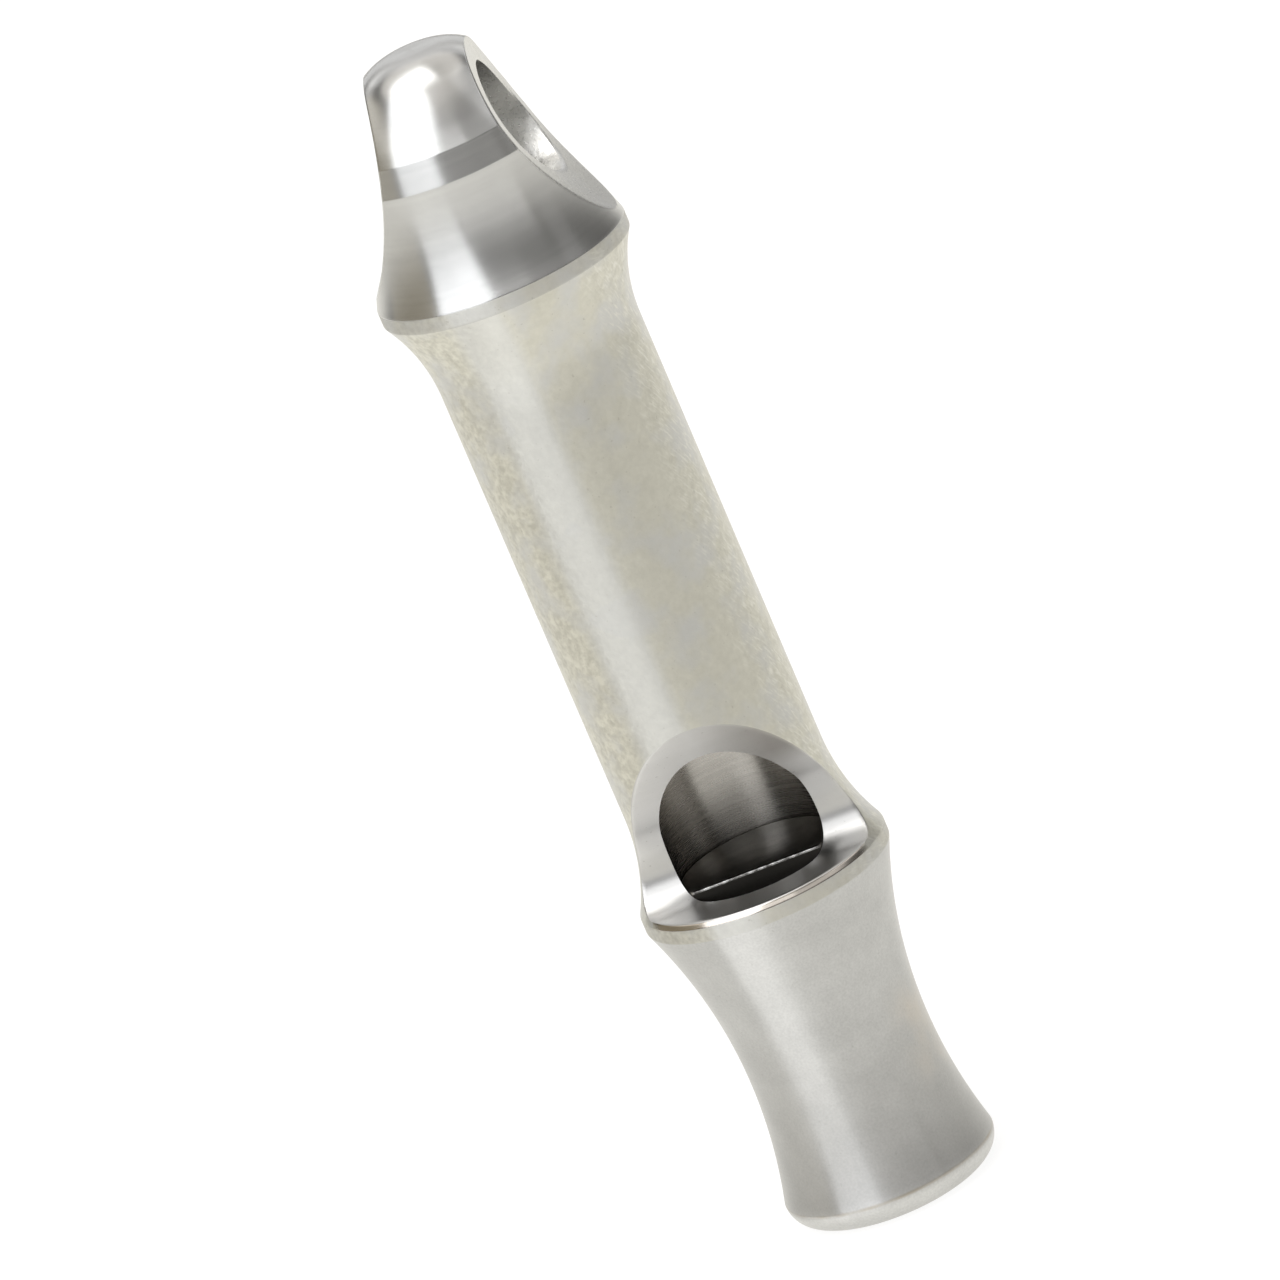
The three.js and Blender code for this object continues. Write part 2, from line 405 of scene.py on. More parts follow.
# one side is mottled more than the other, and the front right is rubbed smooth
def mottledTone(tree, place, fine, broad, mottled):
    marks = tumbledMarks
    mixed = add(tree, multiply(tree, fine["Cloud"], marks["fineShare"]),
                multiply(tree, broad["Grain"], marks["broadShare"]))
    plain = remap(tree, place["X"], *marks["plainSide"], *marks["plainContrast"])
    contrast = largest(tree, remap(tree, mottled, 0.0, 1.0, *marks["mottledContrast"]),
                       largest(tree, plain, remap(tree, place["Y"], *marks["backSide"])))
    return add(tree, multiply(tree, mathNode(tree, "SUBTRACT", mixed, 0.5), contrast), 0.5)


# cooler patches all over, and a painted cooler streak along the front that tints the highlight there
def coolPatchesAndPaintedStreak(tree, place, broad):
    marks = tumbledMarks
    patches = remap(tree, broad["Cloud"], *marks["coolLevels"], 0.0, marks["cooled"])
    behind = largest(tree, multiply(tree, place["Y"], marks["paintedStreakEnd"]), 0.0)
    beside = add(tree, awayFrom(tree, place["X"], marks["paintedStreakPlace"]), behind)
    return largest(tree, patches, remap(tree, beside, *marks["paintedStreakWidth"], marks["paintedStreakShare"], 0.0))


# painted light: both sides and the flare under the shoulder are made lighter
def paintedLightShare(tree, place):
    marks = tumbledMarks
    left = remap(tree, place["X"], *marks["leftPaintedLight"])
    right = remap(tree, place["X"], *marks["rightPaintedLight"], 0.0, marks["rightShare"])
    return largest(tree, largest(tree, left, right), remap(tree, place["Z"], *marks["flarePaintedLight"]))


# patches of slanting scratches, nearly all on one side
def hatchShare(tree, look, place, broad):
    marks = tumbledMarks
    hatch = useGroup(tree, slantScratches, Slant=look["slant"], Width=marks["hatchWidth"],
                     Length=marks["hatchLength"])
    side = remap(tree, place["X"], *marks["hatchSide"], marks["hatchLeast"], look["hatched"])
    patches = remap(tree, broad["Grain"], *marks["hatchLevels"], *marks["hatchPatches"])
    return multiply(tree, multiply(tree, hatch["Scratches"], patches), side)


def tumbledFinish(name):
    look, marks = finishes[name], tumbledMarks
    material, tree, shader = startMetal(name, look["light"], look["stretch"])
    fine = useGroup(tree, tumbledGrain, Cloud_Size=marks["fineCloud"], Grain_Size=marks["fineGrain"])
    broad = useGroup(tree, tumbledGrain, Cloud_Size=marks["broadCloud"], Grain_Size=marks["broadGrain"])
    place = axisParts(tree, millimetres(tree))
    mottled = remap(tree, place["X"], *marks["mottledSide"])
    tone = mottledTone(tree, place, fine, broad, mottled)
    colour = blendColours(tree, tone, look["dark"], look["light"])
    # cool patches, and the painted streak that tints the highlight
    colour = blendColours(tree, coolPatchesAndPaintedStreak(tree, place, broad), colour, look["cool"])
    # painted light lifts both sides and the flare
    lift = remap(tree, paintedLightShare(tree, place), 0.0, 1.0, 1.0, 1.0 + look["paintedLift"])
    hatched = hatchShare(tree, look, place, broad)
    colour = blendColours(tree, hatched, scaled(tree, colour, lift), marks["hatch"])
    colour = blendColours(tree, multiply(tree, fine["Pits"], look["pitted"]), colour, look["pitAndPaintedShade"])
    rough = remap(tree, fine["Grain"], 0.0, 1.0, *look["rough"])
    height = mathNode(tree, "SUBTRACT", fine["Cloud"], multiply(tree, hatched, marks["hatchDepth"]))
    uneven = multiply(tree, multiply(tree, broad["Grain"], mottled), marks["mottledDepth"])
    normal = bumpNode(tree, add(tree, height, uneven), marks["bump"], marks["depth"])
    feed(tree, shader, Base_Color=colour, Roughness=rough, Normal=normal)
    return material


bodyFinishes = [
    turnedFinish("mouthSatin"),
    tumbledFinish("rimLand"),
    tumbledFinish("barrelTumbled"),
    turnedFinish("headPolish"),
    tumbledFinish("scoopSatin"),
    turnedFinish("windowCut"),
    turnedFinish("lipBevel"),
    turnedFinish("boreDark"),
]
mouthSatin, rimLand, barrelTumbled, headPolish, scoopSatin, windowCut, lipBevel, boreDark = range(8)
print("finishes made:", len(bodyFinishes))


# mesh helpers: points in mm, welded where they meet
def startMesh():
    return {"mesh": bmesh.new(), "found": {}}


def spot(build, x, y, z):
    key = (round(x, 4) + 0.0, round(y, 4) + 0.0, round(z, 4) + 0.0)  # adding 0.0 drops the sign of a zero
    if key not in build["found"]:
        build["found"][key] = build["mesh"].verts.new((x * mm, y * mm, z * mm))
    return build["found"][key]


def patch(build, rows, finish, mirrors):
    for flipX, flipY in mirrors:
        verts = [[spot(build, flipX * x, flipY * y, z) for x, y, z in row] for row in rows]
        for low, high in zip(verts, verts[1:]):
            for corners in zip(low, low[1:], high[1:], high):
                loop = list(dict.fromkeys(corners))
                if len(loop) > 2:
                    face = build["mesh"].faces.new(loop)
                    face.material_index = finish(face) if callable(finish) else finish


# triangles between two half rings with different numbers of points
def joinRings(build, outer, inner, finish, mirrors):
    for flipX, flipY in mirrors:
        wide = [spot(build, flipX * x, flipY * y, z) for x, y, z in outer]
        narrow = [spot(build, flipX * x, flipY * y, z) for x, y, z in inner]
        i = j = 0
        while i < len(wide) - 1 or j < len(narrow) - 1:
            wideBehind = (i + 1) / len(wide) <= (j + 1) / len(narrow)
            if j == len(narrow) - 1 or (i < len(wide) - 1 and wideBehind):
                loop = (wide[i], wide[i + 1], narrow[j])
                i += 1
            else:
                loop = (wide[i], narrow[j + 1], narrow[j])
                j += 1
            build["mesh"].faces.new(loop).material_index = finish


def finishMesh(build, name, materials, sharpAngle):
    bmesh.ops.recalc_face_normals(build["mesh"], faces=build["mesh"].faces)
    data = bpy.data.meshes.new(name)
    build["mesh"].to_mesh(data)
    build["mesh"].free()
    for material in materials:
        data.materials.append(material)
    data.polygons.foreach_set("use_smooth", [True] * len(data.polygons))
    data.set_sharp_from_angle(angle=math.radians(sharpAngle))
    piece = bpy.data.objects.new(name, data)
    scene.collection.objects.link(piece)
    return piece


def evenly(low, high, steps):
    return [low + (high - low) * k / steps for k in range(steps + 1)]


def between(low, high, shares):
    return [low + (high - low) * share for share in shares]


def ringPoint(radius, angle, height):
    return (radius * math.sin(angle), -radius * math.cos(angle), height)


def ring(radius, angles, height):
    return [ringPoint(radius, angle, height) for angle in angles]


# hollow arc that runs along the axis at its narrow end
def flare(start, end, steps):
    rise = abs(end[0] - start[0])
    run = end[1] - start[1]
    reach = (rise * rise + run * run) / (2 * rise)
    turn = math.asin(run / reach)
    narrow = min(start[0], end[0])
    points = []
    for k in range(steps + 1):
        if end[0] > start[0]:
            angle = turn * k / steps
            points.append((narrow + reach * (1 - math.cos(angle)), start[1] + reach * math.sin(angle)))
        else:
            angle = turn * (1 - k / steps)
            points.append((narrow + reach * (1 - math.cos(angle)), end[1] - reach * math.sin(angle)))
    return points


def roundOver(start, radius, fromTilt, toTilt, steps):
    first, last = math.radians(fromTilt), math.radians(toTilt)
    x = start[0] - radius * math.cos(first)
    y = start[1] - radius * math.sin(first)
    return [(x + radius * math.cos(tilt), y + radius * math.sin(tilt)) for tilt in evenly(first, last, steps)]


# rounds the corners of a profile that are sharper than the angle straight
def easeCorners(line, size, straight=166, most=0.45):
    eased = [line[0]]
    for before, here, after in zip(line, line[1:], line[2:]):
        back = Vector(before) - Vector(here)
        onward = Vector(after) - Vector(here)
        if back.angle(onward) > math.radians(straight):
            eased.append(here)
            continue
        first = Vector(here) + back.normalized() * min(size, most * back.length)
        last = Vector(here) + onward.normalized() * min(size, most * onward.length)
        for t in (0, 0.25, 0.5, 0.75, 1):
            eased.append(tuple(first * (1 - t) ** 2 + Vector(here) * 2 * t * (1 - t) + last * t * t))
    eased.append(line[-1])
    return eased


# the middle point of a broken edge, drawn towards the corner that was there
def easedCorner(corner, before, after):
    return tuple(Vector(corner) * 0.5 + (Vector(before) + Vector(after)) * 0.25)


# whistle body, sizes in mm
bodySizes = {
    "bore": 3.1, "barrel": 4.05, "waist": 3.64, "lip": 4.29, "rim": 5.0,
    "lipRound": 1.0, "waistHeight": 6.14, "rimHeight": 13.59, "shoulderHeight": 39.55,
    "land": 0.56, "rimFlare": 3.97, "shoulderFlare": 3.4,
    "boreEnd": 37.15, "drillPoint": 118,
    "head": 4.18, "taper": 4.83, "coneHeight": 1.12, "coneStep": 0.24,
    "dome": 9.33, "domeTilt": 22, "crown": 2.5, "crownTilt": 37,
    "scoop": 15.0, "scoopRise": 9.45, "crownHalf": 2.02, "holeRise": 5.25, "hole": 2.45,
    "wallRise": 0.52, "floor": 0.9, "corner": 1.4, "floorLength": 0.05, "blend": 3.2, "ramp": 33.6,
    # broken edges: their widths, the shares that their parts take, and where they fade out
    "edge": 0.05, "mouthEdge": 0.07, "scoopEdge": 0.07, "holeEdge": 0.06,
    "middleEase": 0.3, "boreEase": 0.6, "cheekEase": 0.3, "cheekFade": 0.3, "scoopEase": 0.35,
    "holeFlare": 1.012, "endFade": 6, "sharpAngle": 32,
    # facets, and how near to a seam a row may come
    "outlineSteps": (18, 30, 34, 24, 24, 30, 24, 20), "cutOutlineSteps": (16, 16, 26, 20),
    "frontSteps": 26, "sideSteps": 92, "boreSteps": 56, "scoopSteps": 10, "cutSteps": 14,
    "holeSteps": 8, "headSteps": 130, "creaseGap": 0.05, "creaseRows": (-0.03, -0.01, 0.01, 0.03),
    "lowBoreHeights": (2.5, 5.0, 7.5, 10.0, 12.0, 13.2), "highBoreHeights": (24.0, 28.0, 32.0),
    "wallGap": 0.08, "archGap": 0.1, "lowTipGap": 0.05, "highTipGap": 0.02, "landGap": 0.01,
}

# signs of X and Y that mirror a half or a quarter into the whole
halves = ((1, 1), (-1, 1))
quarters = ((1, 1), (-1, 1), (1, -1), (-1, -1))


def landEnds(sizes, middle):
    return middle - sizes["land"] / 2, middle + sizes["land"] / 2


# radius and height of the turned outside, from the lip to the crown
def outerLine(sizes):
    lip, waist, rim, lowFlare, highFlare, taper, dome, crown = sizes["outlineSteps"]  # for each stretch
    rimLow, rimTop = landEnds(sizes, sizes["rimHeight"])
    shoulderLow, shoulderTop = landEnds(sizes, sizes["shoulderHeight"])
    coneLow = sizes["shoulderHeight"] + sizes["taper"]
    line = roundOver((sizes["lip"] - sizes["lipRound"], 0), sizes["lipRound"], -90, 0, lip)
    line += flare(line[-1], (sizes["waist"], sizes["waistHeight"]), waist)[1:]
    line += flare(line[-1], (sizes["rim"], rimLow), rim)[1:]
    line += [(sizes["rim"], rimTop)]
    line += flare(line[-1], (sizes["barrel"], rimTop + sizes["rimFlare"]), lowFlare)[1:]
    line += [(sizes["barrel"], shoulderLow - sizes["shoulderFlare"])]
    line += flare(line[-1], (sizes["rim"], shoulderLow), highFlare)[1:]
    line += [(sizes["rim"], shoulderTop)]
    line += flare(line[-1], (sizes["head"], coneLow), taper)[1:]
    line += [(sizes["head"] - sizes["coneStep"], coneLow + sizes["coneHeight"])]
    line += roundOver(line[-1], sizes["dome"], sizes["domeTilt"], sizes["crownTilt"], dome)[1:]
    line += roundOver(line[-1], sizes["crown"], sizes["crownTilt"], 90, crown)[1:]
    return easeCorners(line, sizes["edge"])


# height and depth of the milled cut, from its square wall up to where it leaves the barrel
def windowRows(sizes):
    cornerSteps, blendSteps, boreSteps, barrelSteps = sizes["cutOutlineSteps"]
    wall = sizes["rimHeight"] + sizes["wallRise"]
    floorEnd = wall + sizes["corner"] + sizes["floorLength"]
    ramp = math.radians(sizes["ramp"])
    rows = []
    for angle in evenly(0, math.pi / 2, cornerSteps):
        height = wall + sizes["corner"] * (1 - math.cos(angle))
        rows.append((height, sizes["floor"] + sizes["corner"] * (1 - math.sin(angle))))
    for angle in evenly(0, ramp, blendSteps):
        height = floorEnd + sizes["blend"] * math.sin(angle)
        rows.append((height, sizes["floor"] + sizes["blend"] * (1 - math.cos(angle))))
    startHeight, startDepth = rows[-1]
    firstTurn = math.acos(startDepth / sizes["bore"])
    secondTurn = math.acos(sizes["bore"] / sizes["barrel"])
    depths = [sizes["bore"] * math.cos(turn) for turn in evenly(firstTurn, 0, boreSteps)[1:]]
    depths += [sizes["barrel"] * math.cos(turn) for turn in evenly(secondTurn, 0, barrelSteps)[1:]]
    rows += [(startHeight + (depth - startDepth) / math.tan(ramp), depth) for depth in depths]
    return rows


# what the parts of the body share: the outline, the cut, and the columns at each side of the window's wall
def startBody(sizes):
    line = outerLine(sizes)
    body = {
        "build": startMesh(),
        "sizes": sizes,
        "cut": windowRows(sizes),
        "wall": sizes["rimHeight"] + sizes["wallRise"],
        "radii": np.array([radius for radius, _ in line]),
        "heights": np.array([height for _, height in line]),
        "sideShare": evenly(0, 1, sizes["sideSteps"]),
        "boreShare": evenly(0, 1, sizes["boreSteps"]),
        "quarterShare": evenly(0, 1, sizes["sideSteps"] // 2),
    }
    wallDepth = body["cut"][0][1]
    outerStart = math.acos(wallDepth / outerAt(body, body["wall"]))
    innerStart = math.acos(wallDepth / sizes["bore"])
    frontShare = evenly(0, 1, sizes["frontSteps"])
    body["outerFront"] = between(0, outerStart, frontShare)
    body["outerSide"] = between(outerStart, math.pi, body["sideShare"])
    body["boreFront"] = between(0, innerStart, frontShare)
    body["boreSide"] = between(innerStart, math.pi, body["boreShare"])
    body["boreHalf"] = between(0, math.pi, body["boreShare"])
    body["quarter"] = between(0, math.pi / 2, body["quarterShare"])
    body["ease"] = [sizes["edge"] * (1 - share ** sizes["endFade"]) for share in frontShare]
    return body


def outerAt(body, height):
    return float(np.interp(height, body["heights"], body["radii"]))


def outerFinish(body, face):
    sizes = body["sizes"]
    rimLow, rimTop = landEnds(sizes, sizes["rimHeight"])
    shoulderLow, shoulderTop = landEnds(sizes, sizes["shoulderHeight"])
    height = sum(vert.co.z for vert in face.verts) / len(face.verts) / mm
    if height < rimLow - sizes["landGap"]:
        return mouthSatin
    if height < rimTop + sizes["landGap"]:
        return rimLand
    if height < body["wall"] and face.calc_center_median().y < -body["cut"][0][1] * mm:
        return lipBevel
    if height < shoulderLow - sizes["landGap"]:
        return barrelTumbled
    if height < shoulderTop + sizes["landGap"]:
        return rimLand
    return headPolish


def addOuter(body, rows, mirrors):
    patch(body["build"], rows, lambda face: outerFinish(body, face), mirrors)


# mouthpiece and rim, up to the window's wall; returns the edge that the wall starts from
def addMouthpiece(body):
    wall = body["wall"]
    lowHeights = [height for height in body["heights"] if height < wall - body["sizes"]["wallGap"]]
    front = [ring(outerAt(body, height), body["outerFront"], height) for height in lowHeights]
    front.append([
        ringPoint(outerAt(body, wall - ease), angle, wall - ease)
        for angle, ease in zip(body["outerFront"], body["ease"])
    ])
    addOuter(body, front, halves)
    side = [ring(outerAt(body, height), body["outerSide"], height) for height in lowHeights + [wall]]
    addOuter(body, side, halves)
    return front[-1]


# square wall of the window, with its edges broken; returns its edge in the bore
def addWindowWall(body, outerEdge):
    sizes, wall = body["sizes"], body["wall"]
    wallRadius = outerAt(body, wall)
    columns = list(zip(body["outerFront"], body["boreFront"], body["ease"]))
    rows = [outerEdge, []]
    for outer, _, ease in columns:
        inset = sizes["middleEase"] * ease
        rows[-1].append(ringPoint(wallRadius - inset, outer, wall - inset))
    for step in evenly(0, 1, sizes["cutSteps"]):
        row = []
        for outer, inner, ease in columns:
            outerSpot = Vector(ringPoint(wallRadius - ease, outer, wall))
            boreSpot = Vector(ringPoint(sizes["bore"] + ease * sizes["boreEase"], inner, wall))
            row.append(tuple(outerSpot.lerp(boreSpot, step)))
        rows.append(row)
    rows.append([
        ringPoint(sizes["bore"], inner, wall - ease * sizes["boreEase"]) for _, inner, ease in columns
    ])
    patch(body["build"], rows, windowCut, halves)
    return rows[-1]


# bore below the wall, and the mouth end's ring
def addLowerBore(body, wallEdge):
    sizes = body["sizes"]
    heights = [sizes["mouthEdge"], *sizes["lowBoreHeights"]]
    front = [ring(sizes["bore"], body["boreFront"], height) for height in heights]
    patch(body["build"], front + [wallEdge], boreDark, halves)
    side = [ring(sizes["bore"], body["boreSide"], height) for height in heights + [body["wall"]]]
    patch(body["build"], side, boreDark, halves)
    # the lip's columns and the bore's columns meet at two different spacings, so one ring joins them
    lipRing = ring(body["radii"][0], body["outerFront"] + body["outerSide"][1:], 0)
    boreRing = ring(sizes["bore"], body["boreFront"] + body["boreSide"][1:], sizes["mouthEdge"])
    joinRings(body["build"], lipRing, boreRing, mouthSatin, halves)


# window cheeks and ramp, with the barrel beside them; returns the rows of the bore beside them
def addWindow(body):
    sizes = body["sizes"]
    outerRows, cheekRows, innerRows = [], [], []
    for height, depth in body["cut"]:
        radius = outerAt(body, height)
        outAngle = math.acos(min(1, depth / radius))
        inAngle = math.acos(min(1, depth / sizes["bore"]))
        outX = radius * math.sin(outAngle)
        inX = sizes["bore"] * math.sin(inAngle)
        fade = min(1, (height - body["wall"]) / sizes["cheekFade"])
        ease = min(sizes["edge"], sizes["cheekEase"] * outX) * fade
        start = outAngle + ease / radius
        outerRows.append(ring(radius, between(start, math.pi, body["sideShare"]), height))
        rim = outerRows[-1][0]
        face = [(x, -depth, height) for x in evenly(outX - ease, inX, sizes["cutSteps"])]
        cheekRows.append([rim, easedCorner((outX, -depth, height), rim, face[0])] + face)
        innerRows.append(ring(sizes["bore"], between(inAngle, math.pi, body["boreShare"]), height))
    addOuter(body, outerRows, halves)
    patch(body["build"], cheekRows, windowCut, halves)
    return innerRows


# bore above the window, ending in the drill point
def addUpperBore(body, rows):
    sizes = body["sizes"]
    pointStart = sizes["boreEnd"] - sizes["bore"] / math.tan(math.radians(sizes["drillPoint"] / 2))
    for height in (*sizes["highBoreHeights"], pointStart):
        rows.append(ring(sizes["bore"], body["boreHalf"], height))
    for step in (0.5, 1.0):
        height = pointStart + (sizes["boreEnd"] - pointStart) * step
        rows.append(ring(sizes["bore"] * (1 - step), body["boreHalf"], height))
    patch(body["build"], rows, boreDark, halves)


# half the head's thickness between the scoops
def scoopHalf(sizes, height):
    drop = sizes["shoulderHeight"] + sizes["scoopRise"] - height
    return sizes["crownHalf"] + sizes["scoop"] - math.sqrt(sizes["scoop"] ** 2 - drop * drop)


# height where the scoop just meets the turned outline
def findTip(body, low, high):
    sizes = body["sizes"]
    sign = outerAt(body, low) > scoopHalf(sizes, low)
    for _ in range(50):
        middle = (low + high) / 2
        if (outerAt(body, middle) > scoopHalf(sizes, middle)) == sign:
            low = middle
        else:
            high = middle
    return (low + high) / 2


# barrel and shoulder above the window, up to where the scoops start
def addBarrel(body, lowTip):
    sizes = body["sizes"]
    archTop = body["cut"][-1][0]
    low, high = archTop + sizes["archGap"], lowTip - sizes["lowTipGap"]
    heights = [archTop] + [height for height in body["heights"] if low < height < high] + [lowTip]
    addOuter(body, [ring(outerAt(body, height), body["quarter"], height) for height in heights], quarters)


# rows of the scooped head, closer together at its tips and on both sides of each crease
def headHeights(sizes, lowTip, highTip):
    coneLow = sizes["shoulderHeight"] + sizes["taper"]
    creases = [coneLow, coneLow + sizes["coneHeight"]]
    turns = [math.pi * k / sizes["headSteps"] for k in range(sizes["headSteps"] + 1)]
    heights = [lowTip + (highTip - lowTip) * (1 - math.cos(turn)) / 2 for turn in turns]
    heights = [height for height in heights if all(abs(height - c) > sizes["creaseGap"] for c in creases)]
    heights += [crease + gap for crease in creases for gap in sizes["creaseRows"]]
    return sorted(heights)


# from the head's outer edge over the scoop's face, into the hole and up to its middle
def scoopRow(sizes, edge, half, depth, height):
    holeHeight = sizes["shoulderHeight"] + sizes["holeRise"]
    bearing = math.atan2(height - holeHeight, -depth)
    outward = Vector((math.cos(bearing), math.sin(bearing)))
    reach = math.hypot(depth, height - holeHeight)
    face = []
    holeRim = sizes["hole"] + sizes["holeEdge"]
    for distance in evenly(reach - sizes["scoopEdge"], holeRim, sizes["scoopSteps"]):
        y, z = outward * distance
        face.append((scoopHalf(sizes, z + holeHeight), y, z + holeHeight))
    row = [edge, easedCorner((half, -depth, height), edge, face[0])] + face
    y, z = outward * sizes["hole"]
    mouth = scoopHalf(sizes, z + holeHeight)
    flared = sizes["holeFlare"]
    row.append((mouth - sizes["middleEase"] * sizes["holeEdge"], y * flared, z * flared + holeHeight))
    row += [(x, y, z + holeHeight) for x in evenly(mouth - sizes["holeEdge"], 0, sizes["holeSteps"])]
    return row


# head between its scoops
def addHead(body, lowTip, highTip):
    sizes = body["sizes"]
    headRows, scoopRows = [], []
    for height in headHeights(sizes, lowTip, highTip):
        radius, half = outerAt(body, height), scoopHalf(sizes, height)
        depth = math.sqrt(max(0, radius * radius - half * half))
        ease = min(sizes["scoopEdge"], sizes["scoopEase"] * depth)
        angle = math.asin(min(1, half / radius)) - ease / radius
        headRows.append(ring(radius, between(0, angle, body["quarterShare"]), height))
        scoopRows.append(scoopRow(sizes, headRows[-1][-1], half, depth, height))
    patch(body["build"], headRows, headPolish, quarters)
    patch(body["build"], scoopRows, scoopSatin, quarters)


# crown above the scoops
def addCrown(body, highTip):
    top = float(body["heights"][-1])
    above = [height for height in body["heights"] if height > highTip + body["sizes"]["highTipGap"]]
    rows = [ring(outerAt(body, height), body["quarter"], height) for height in [highTip] + above[:-1]]
    for share in (1, 0.5, 0):
        rows.append(ring(body["radii"][-1] * share, body["quarter"], top))
    patch(body["build"], rows, headPolish, quarters)


def buildBody(sizes):
    body = startBody(sizes)
    outerEdge = addMouthpiece(body)
    boreEdge = addWindowWall(body, outerEdge)
    addLowerBore(body, boreEdge)
    addUpperBore(body, addWindow(body))
    coneLow = sizes["shoulderHeight"] + sizes["taper"]
    lowTip = findTip(body, landEnds(sizes, sizes["shoulderHeight"])[1], coneLow)
    highTip = findTip(body, coneLow, float(body["heights"][-1]))
    addBarrel(body, lowTip)
    addHead(body, lowTip, highTip)
    addCrown(body, highTip)
    return finishMesh(body["build"], "whistleBody", bodyFinishes, sizes["sharpAngle"])


whistleBody = buildBody(bodySizes)
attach(whistleBody, "root")
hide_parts("whistle_body")
print("body built:", len(whistleBody.data.polygons), "faces")


# windway plug, sizes in mm
plugSizes = {
    "radius": 3.08, "flat": 1.7, "top": 14.46, "endChamfer": 0.15, "topChamfer": 0.1, "middleEase": 0.3,
    "arcSteps": 96, "chordSteps": 40, "sharpAngle": 30,
    "light": (0.20, 0.19, 0.175), "dark": (0.12, 0.113, 0.104), "rough": (0.30, 0.42),
    "cloudSize": 0.8, "grainSize": 0.06, "bump": 0.5, "depth": 0.004,
    "shade": (0.03, 0.028, 0.025), "shadeDepths": (0.06, 0.02),
    # painted highlight on the broken edge over the flat
    "paintedHighlightLight": (0.95, 0.94, 0.92), "paintedHighlightDark": (0.20, 0.19, 0.18), "edgeRough": (0.14, 0.26),
    "edgeCloudSize": 0.3, "edgeDepth": 0.08,
}


def plugOutline(sizes, inset):
    radius, flat = sizes["radius"] - inset, sizes["flat"] - inset
    half = math.acos(flat / radius)
    arc = [ringPoint(radius, angle, 0) for angle in evenly(half, 2 * math.pi - half, sizes["arcSteps"])]
    chord = [(x, -flat, 0) for x in evenly(arc[-1][0], arc[0][0], sizes["chordSteps"])[1:-1]]
    return arc + chord


# painted highlight: the broken edge over the flat gets a much brighter material than the rest of the plug
def plugHighlightSide(sizes, face):
    middle = face.calc_center_median() / mm
    onBevel = middle.z > sizes["top"] - sizes["topChamfer"]
    return int(onBevel and middle.y < sizes["edgeDepth"] - sizes["flat"])


def buildPlug(sizes):
    build = startMesh()
    top = sizes["top"]
    bevel = sizes["middleEase"] * sizes["topChamfer"]
    levels = [
        (0, sizes["endChamfer"]), (sizes["endChamfer"], 0), (top * 0.5, 0),
        (top - sizes["topChamfer"], 0), (top - bevel, bevel), (top, sizes["topChamfer"]),
    ]
    rows = [[(x, y, height) for x, y, _ in plugOutline(sizes, inset)] for height, inset in levels]
    patch(build, [row + row[:1] for row in rows], lambda face: plugHighlightSide(sizes, face), ((1, 1),))
    for row in (rows[0], rows[-1]):
        build["mesh"].faces.new([spot(build, *point) for point in row])
    return finishMesh(build, "windwayPlug", [plugFinish(sizes), plugEdgeHighlightFinish(sizes)], sizes["sharpAngle"])


# the flat that forms the windway is painted nearly black: painted shade in the slot
def plugFinish(sizes):
    material, tree, shader = startMetal("plugDark", sizes["light"])
    grain = useGroup(tree, tumbledGrain, Cloud_Size=sizes["cloudSize"], Grain_Size=sizes["grainSize"])
    colour = blendColours(tree, grain["Cloud"], sizes["dark"], sizes["light"])
    place = axisParts(tree, millimetres(tree))
    # painted shade: the windway flat turns nearly black
    darkened = remap(tree, place["Y"], *[depth - sizes["flat"] for depth in sizes["shadeDepths"]])
    colour = blendColours(tree, darkened, colour, sizes["shade"])
    rough = remap(tree, grain["Grain"], 0.0, 1.0, *sizes["rough"])
    normal = bumpNode(tree, grain["Grain"], sizes["bump"], sizes["depth"])
    feed(tree, shader, Base_Color=colour, Roughness=rough, Normal=normal)
    return material


# painted highlight: nearly white metal on the broken edge over the flat
def plugEdgeHighlightFinish(sizes):
    material, tree, shader = startMetal("plugEdgeHighlight", sizes["paintedHighlightLight"])
    grain = useGroup(tree, tumbledGrain, Cloud_Size=sizes["edgeCloudSize"], Grain_Size=sizes["grainSize"])
    colour = blendColours(tree, grain["Cloud"], sizes["paintedHighlightDark"], sizes["paintedHighlightLight"])
    rough = remap(tree, grain["Grain"], 0.0, 1.0, *sizes["edgeRough"])
    feed(tree, shader, Base_Color=colour, Roughness=rough)
    return material


windwayPlug = buildPlug(plugSizes)
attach(windwayPlug, "root")
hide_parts("windway_plug")
print("plug built:", len(windwayPlug.data.polygons), "faces")


